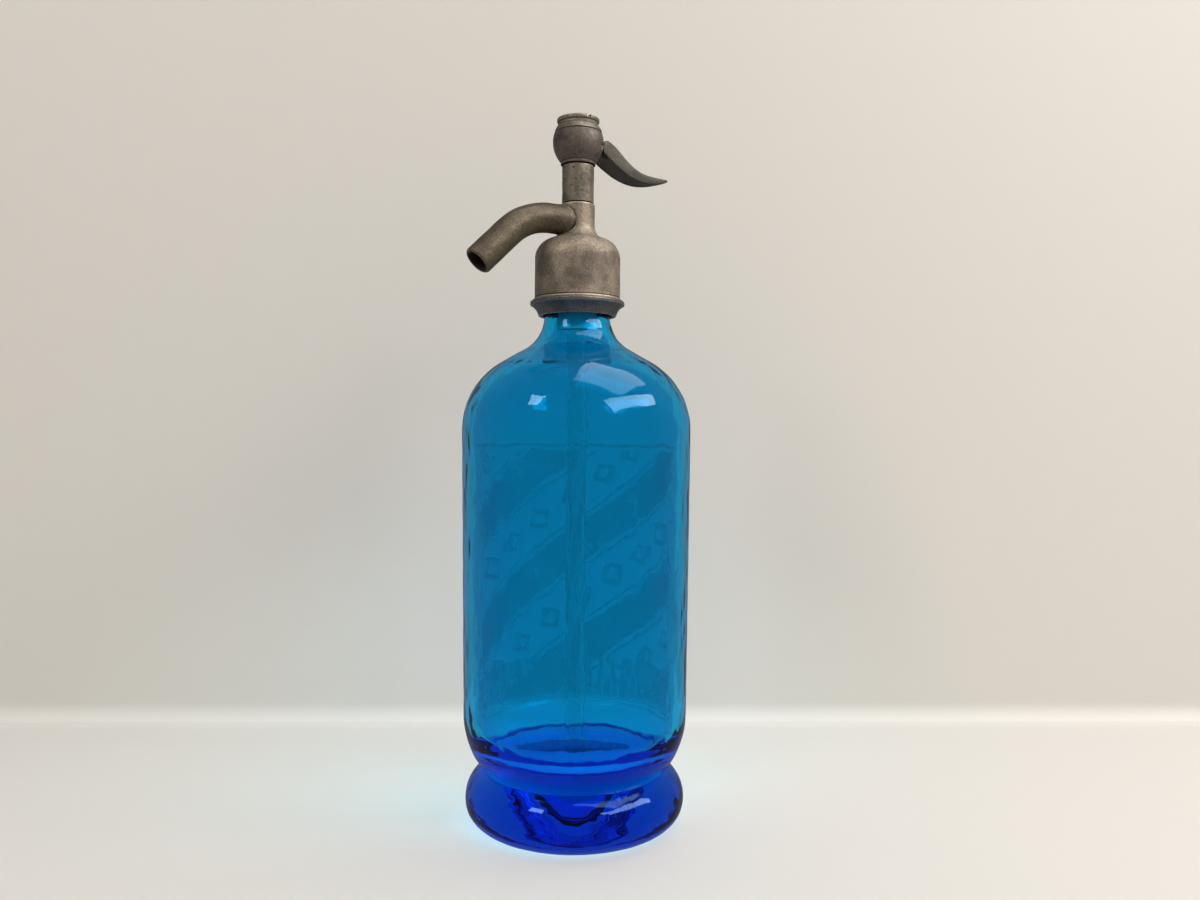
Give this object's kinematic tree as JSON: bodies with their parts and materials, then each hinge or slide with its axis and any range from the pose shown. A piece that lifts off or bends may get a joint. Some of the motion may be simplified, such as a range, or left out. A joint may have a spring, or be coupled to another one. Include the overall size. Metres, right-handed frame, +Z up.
{
  "type": "soda siphon",
  "caption": "Blue glass soda siphon bottle with a cast metal head, curved spout, thumb lever and spring-closed valve.",
  "frame": {"origin": "centre of the ring that the foot rests on, on the bottle's axis", "axes": "+Z up along the bottle; the spout points along -X, the lever along +X, and the lever's pin lies along Y"},
  "size_m": [0.1017, 0.1, 0.3077],
  "materials": {
    "blue_glass": "thick blown glass, blue through its body, glossy, with an etched panel",
    "clear_glass": "thin drawn glass tube, smooth",
    "pewter": "aged cast pewter, dull warm grey, pitted and worn",
    "brass": "turned brass, tarnished",
    "spring_steel": "drawn spring wire and ground pin",
    "rubber": "black rubber washers and seals",
    "pale_rubber": "pale grey rubber sleeve",
    "leather": "greased leather packing"
  },
  "bodies": {
    "housing": {"bottle": "blue_glass", "dip_tube": "clear_glass", "neck_ring": "pewter", "bell": "pewter", "spout": "pewter", "column": "pewter", "bulb": "pewter", "cap": "pewter", "collar_half_front": "brass", "collar_half_back": "brass", "valve_seat": "brass", "gland_nut": "brass", "spring": "spring_steel", "lever_pin": "spring_steel", "neck_gasket": "rubber", "tube_seal": "rubber", "packing_ring": "leather", "cap_washer": "rubber", "tube_sleeve": "pale_rubber"},
    "lever": {"lever": "pewter"},
    "piston": {"piston_rod": "brass", "rod_head": "brass", "valve_washer": "rubber", "washer_screw": "brass"}
  },
  "joints": [
    {"name": "lever_press", "type": "hinge", "parent": "housing", "child": "lever", "pos_m": [0.0075, 0, 0.295], "axis": [0, 1, 0], "range_deg": [0, 14.3], "stiffness_Nm_per_rad": 0.169, "springref_deg": -45.84},
    {"name": "piston_lift", "type": "slide", "parent": "housing", "child": "piston", "axis": [0, 0, 1], "range_m": [0, 0.0019], "deforming": ["spring"]}
  ],
  "couplings": [
    {"joint": "piston_lift", "follows": "lever_press", "m_per_rad": 0.0075}
  ]
}
